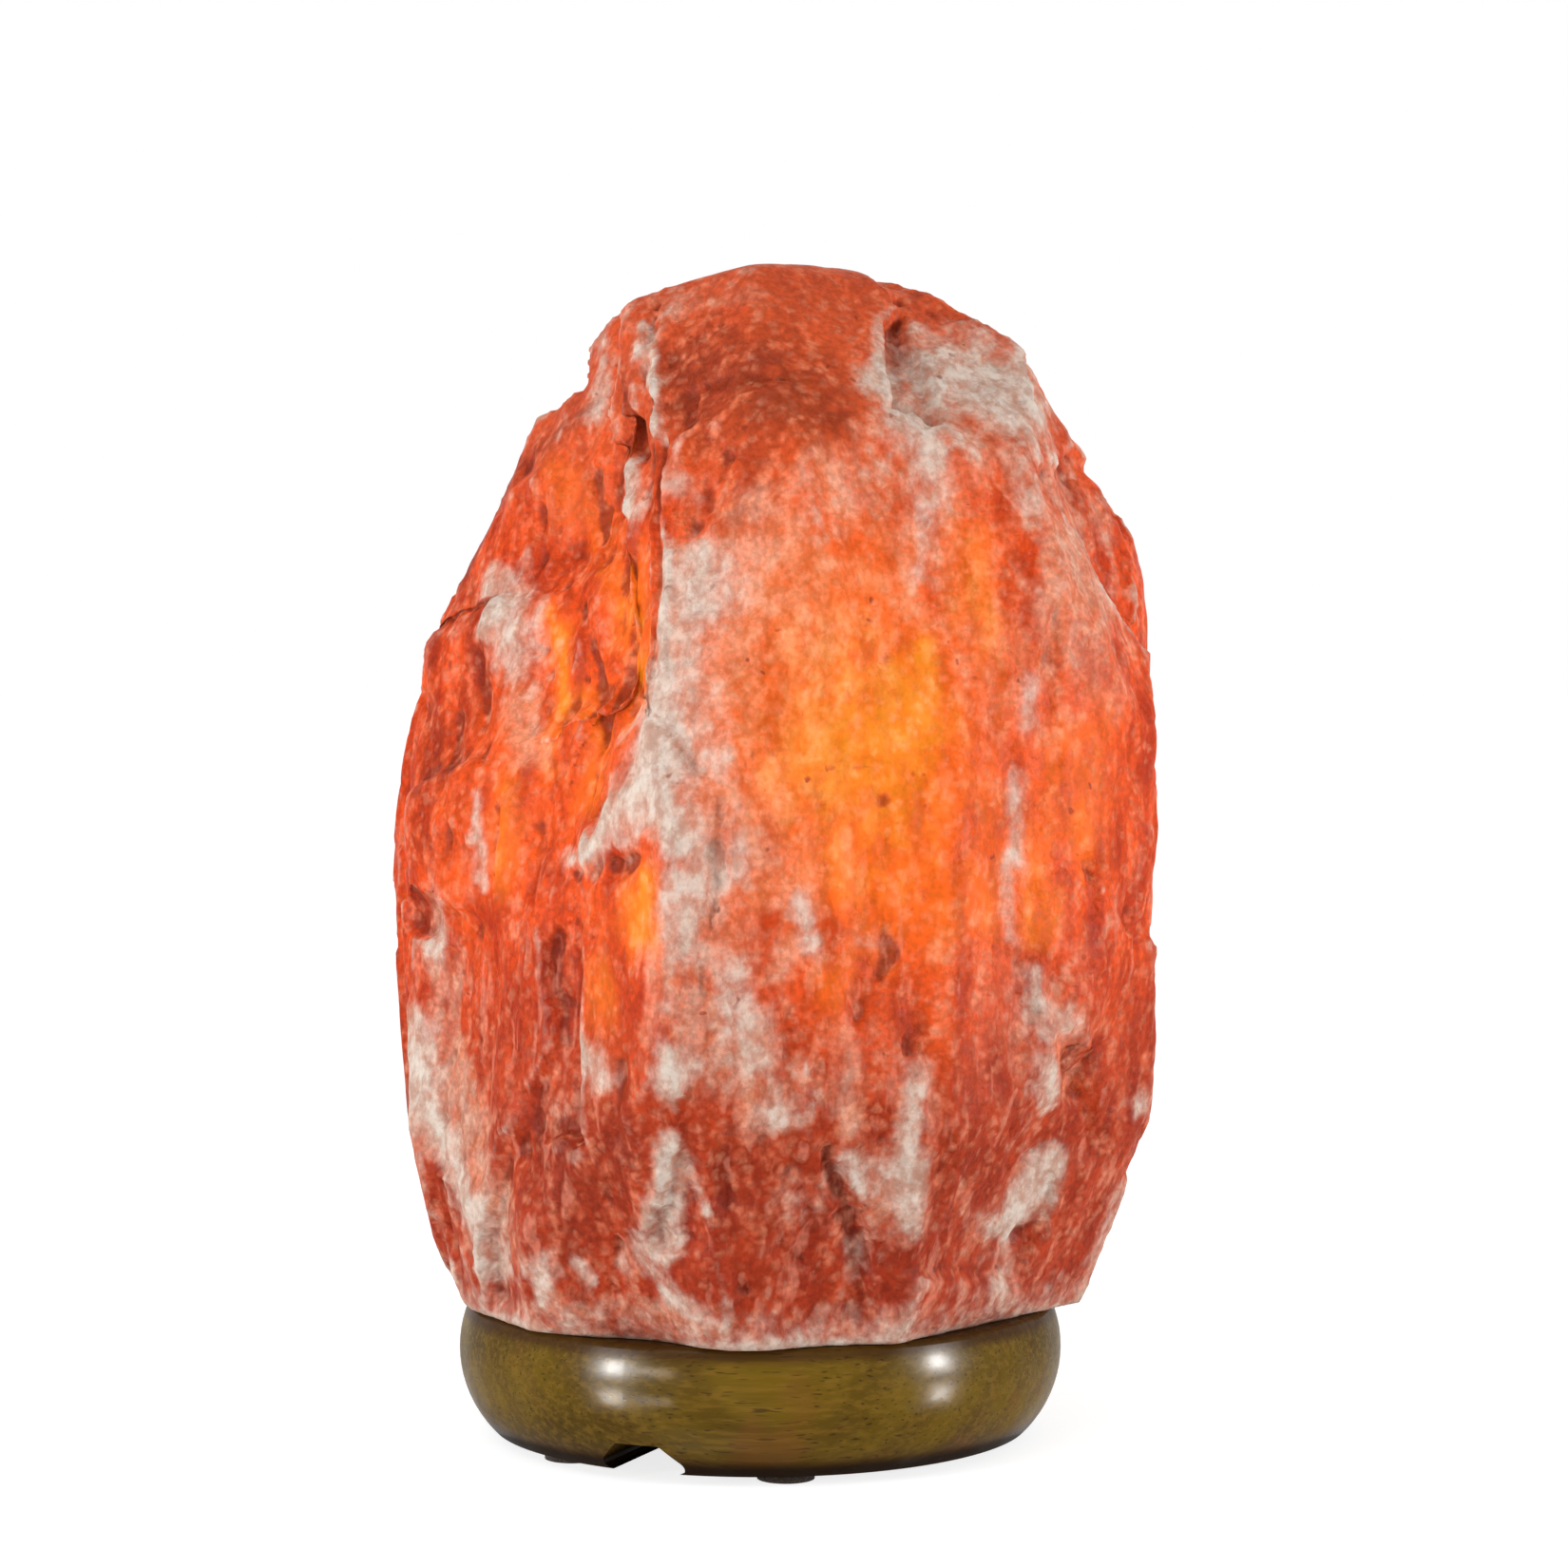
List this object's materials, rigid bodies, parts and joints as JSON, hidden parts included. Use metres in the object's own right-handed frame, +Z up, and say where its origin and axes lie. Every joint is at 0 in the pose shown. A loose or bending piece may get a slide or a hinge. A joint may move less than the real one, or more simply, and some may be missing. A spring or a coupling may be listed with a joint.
{
  "type": "salt crystal lamp",
  "caption": "Chiselled egg-shaped salt crystal screwed to a round turned wooden base, lit from inside by a bulb in a clip-in holder that lifts out from below.",
  "frame": {"origin": "where the base's axis meets the table, at the underside of the felt pads", "axes": "+Z up along the axis of the base, its bore and the bulb; -Y is the front; the cord groove runs out to the front left"},
  "size_m": [0.154, 0.1527, 0.2305],
  "materials": {
    "salt": "rough, chiselled, lit from inside",
    "stained_wood": "turned, stained and glossy lacquered",
    "felt": "pressed felt",
    "zinc_steel": "zinc plated",
    "plug_plastic": "moulded",
    "brass": "turned and pressed",
    "black_plastic": "moulded",
    "white_ceramic": "fired, unglazed",
    "nickel": "nickel plated",
    "black_glass": "fused",
    "solder": "tinned",
    "clear_glass": "blown, clear",
    "lead_wire": "drawn",
    "filament": "glowing tungsten"
  },
  "bodies": {
    "lamp_holder": {"clip_bracket": "zinc_steel", "hollow_stem": "brass", "stem_nut": "brass", "lock_washer": "zinc_steel", "cord_bush": "black_plastic", "holder_cap": "black_plastic", "holder_body": "black_plastic", "contact_block": "white_ceramic", "tip_contact_strip": "brass", "shell_contact_strip": "brass", "terminal_screws": "zinc_steel", "threaded_shell": "brass"},
    "crystal_and_base": {"salt_crystal": "salt", "wood_base": "stained_wood", "felt_pads": "felt", "fixing_screws": "zinc_steel", "fixing_washers": "zinc_steel", "screw_plugs": "plug_plastic"},
    "bulb_tip": {"bulb_insulator": "black_glass", "bulb_tip_contact": "solder"},
    "bulb": {"bulb_cap": "nickel", "bulb_glass": "clear_glass", "bulb_stem": "clear_glass", "bulb_leads": "lead_wire", "bulb_filament": "filament"}
  },
  "joints": [
    {"name": "crystal_lift", "type": "slide", "parent": "lamp_holder", "child": "crystal_and_base", "axis": [0, 0, 1], "range_m": [0, 0.12]},
    {"name": "bulb_rise", "type": "slide", "parent": "lamp_holder", "child": "bulb_tip", "axis": [0, 0, 1], "range_m": [0, 0.0113]},
    {"name": "bulb_turn", "type": "hinge", "parent": "bulb_tip", "child": "bulb", "pos_m": [0, 0, 0.0505], "axis": [0, 0, 1], "range_deg": [0, 1440]}
  ],
  "couplings": [
    {"joint": "bulb_rise", "follows": "bulb_turn", "m_per_rad": 0.00044917}
  ]
}
